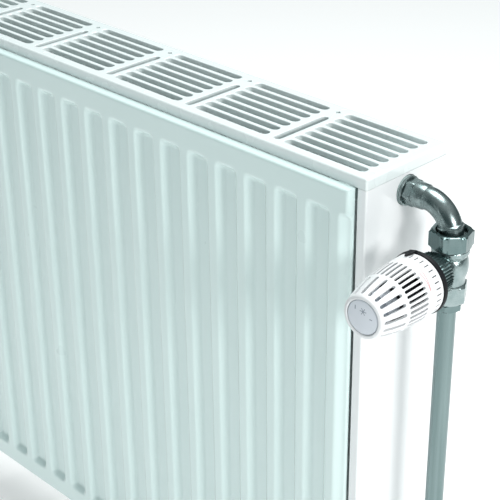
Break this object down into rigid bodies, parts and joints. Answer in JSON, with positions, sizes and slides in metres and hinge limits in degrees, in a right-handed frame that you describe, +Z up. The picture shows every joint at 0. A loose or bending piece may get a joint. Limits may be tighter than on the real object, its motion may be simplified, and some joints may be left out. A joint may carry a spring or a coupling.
{
  "type": "panel radiator with thermostatic valve",
  "caption": "Steel double-panel radiator with convector fins, top grille, side covers and wall brackets, fed through a thermostatic valve on its upper right tapping.",
  "frame": {"origin": "on the wall plane, behind the middle of the radiator's length and height", "axes": "+X to the right along the radiator as seen from the room, +Y into the wall, +Z up"},
  "size_m": [0.6955, 0.1862, 0.62],
  "materials": {
    "white_enamel": "smooth semi-gloss white stove enamel",
    "cover_enamel": "smooth semi-gloss white powder coat",
    "fin_paint": "thin grey-white primer",
    "nickel_plate": "nickel plate over turned and forged brass",
    "brass": "turned",
    "pipe_steel": "bright plated precision pipe",
    "zinc_steel": "zinc-plated pressed steel",
    "stainless_steel": "ground",
    "white_plastic": "satin moulded",
    "cap_plastic": "satin moulded",
    "black_plastic": "moulded",
    "red_plastic": "moulded",
    "blue_plastic": "moulded",
    "rubber": "moulded"
  },
  "bodies": {
    "radiator": {"front_panel_outer_skin": "white_enamel", "front_panel_inner_skin": "white_enamel", "rear_panel_outer_skin": "white_enamel", "rear_panel_inner_skin": "white_enamel", "front_convector": "fin_paint", "rear_convector": "fin_paint", "upper_right_tee": "white_enamel", "lower_right_tee": "white_enamel", "upper_left_tee": "white_enamel", "lower_left_tee": "white_enamel", "right_side_cover": "cover_enamel", "left_side_cover": "cover_enamel", "top_grille": "white_enamel", "upper_right_lug": "white_enamel", "lower_right_lug": "white_enamel", "upper_left_lug": "white_enamel", "lower_left_lug": "white_enamel", "right_wall_bracket": "zinc_steel", "left_wall_bracket": "zinc_steel", "upper_right_hook_sleeve": "black_plastic", "lower_right_hook_sleeve": "black_plastic", "upper_left_hook_sleeve": "black_plastic", "lower_left_hook_sleeve": "black_plastic", "air_vent_plug": "nickel_plate", "air_vent_seal": "rubber", "blanking_plug": "nickel_plate", "blanking_plug_seal": "rubber", "tail_seal": "rubber", "bent_tail": "nickel_plate", "union_nut": "nickel_plate", "valve_body": "nickel_plate", "compression_nut": "nickel_plate", "olive": "brass", "supply_pipe": "pipe_steel", "valve_insert": "brass", "stem_gland": "brass", "stem_spring": "stainless_steel", "knurled_nut": "nickel_plate", "head_base": "black_plastic"},
    "handle": {"handle_sleeve": "white_plastic", "end_cap": "cap_plastic", "low_limit_clip": "blue_plastic", "high_limit_clip": "red_plastic"},
    "thermostat": {"sensor": "cap_plastic", "sensor_pusher": "stainless_steel", "overtravel_spring": "stainless_steel"},
    "stem": {"valve_stem": "stainless_steel", "seat_washer": "rubber"},
    "bleed_screw": {"vent_screw": "brass"}
  },
  "joints": [
    {"name": "handle_turn", "type": "hinge", "parent": "radiator", "child": "handle", "pos_m": [0.35083, -0.0785, 0.179], "axis": [0.0523, -0.9986, 0], "range_deg": [-150, 150]},
    {"name": "thermostat_slide", "type": "slide", "parent": "radiator", "child": "thermostat", "axis": [0.0523, -0.9986, 0], "range_m": [-0.00125, 0.00125]},
    {"name": "stem_slide", "type": "slide", "parent": "radiator", "child": "stem", "axis": [0.0523, -0.9986, 0], "range_m": [-0.00125, 0.00125], "deforming": ["stem_spring"]},
    {"name": "bleed_screw_turn", "type": "hinge", "parent": "radiator", "child": "bleed_screw", "pos_m": [-0.30758, -0.0785, 0.226], "axis": [-1, 0, 0], "range_deg": [0, 360]}
  ],
  "couplings": [
    {"joint": "thermostat_slide", "follows": "handle_turn", "m_per_rad": 0.00047746},
    {"joint": "stem_slide", "follows": "handle_turn", "m_per_rad": 0.00047746}
  ]
}
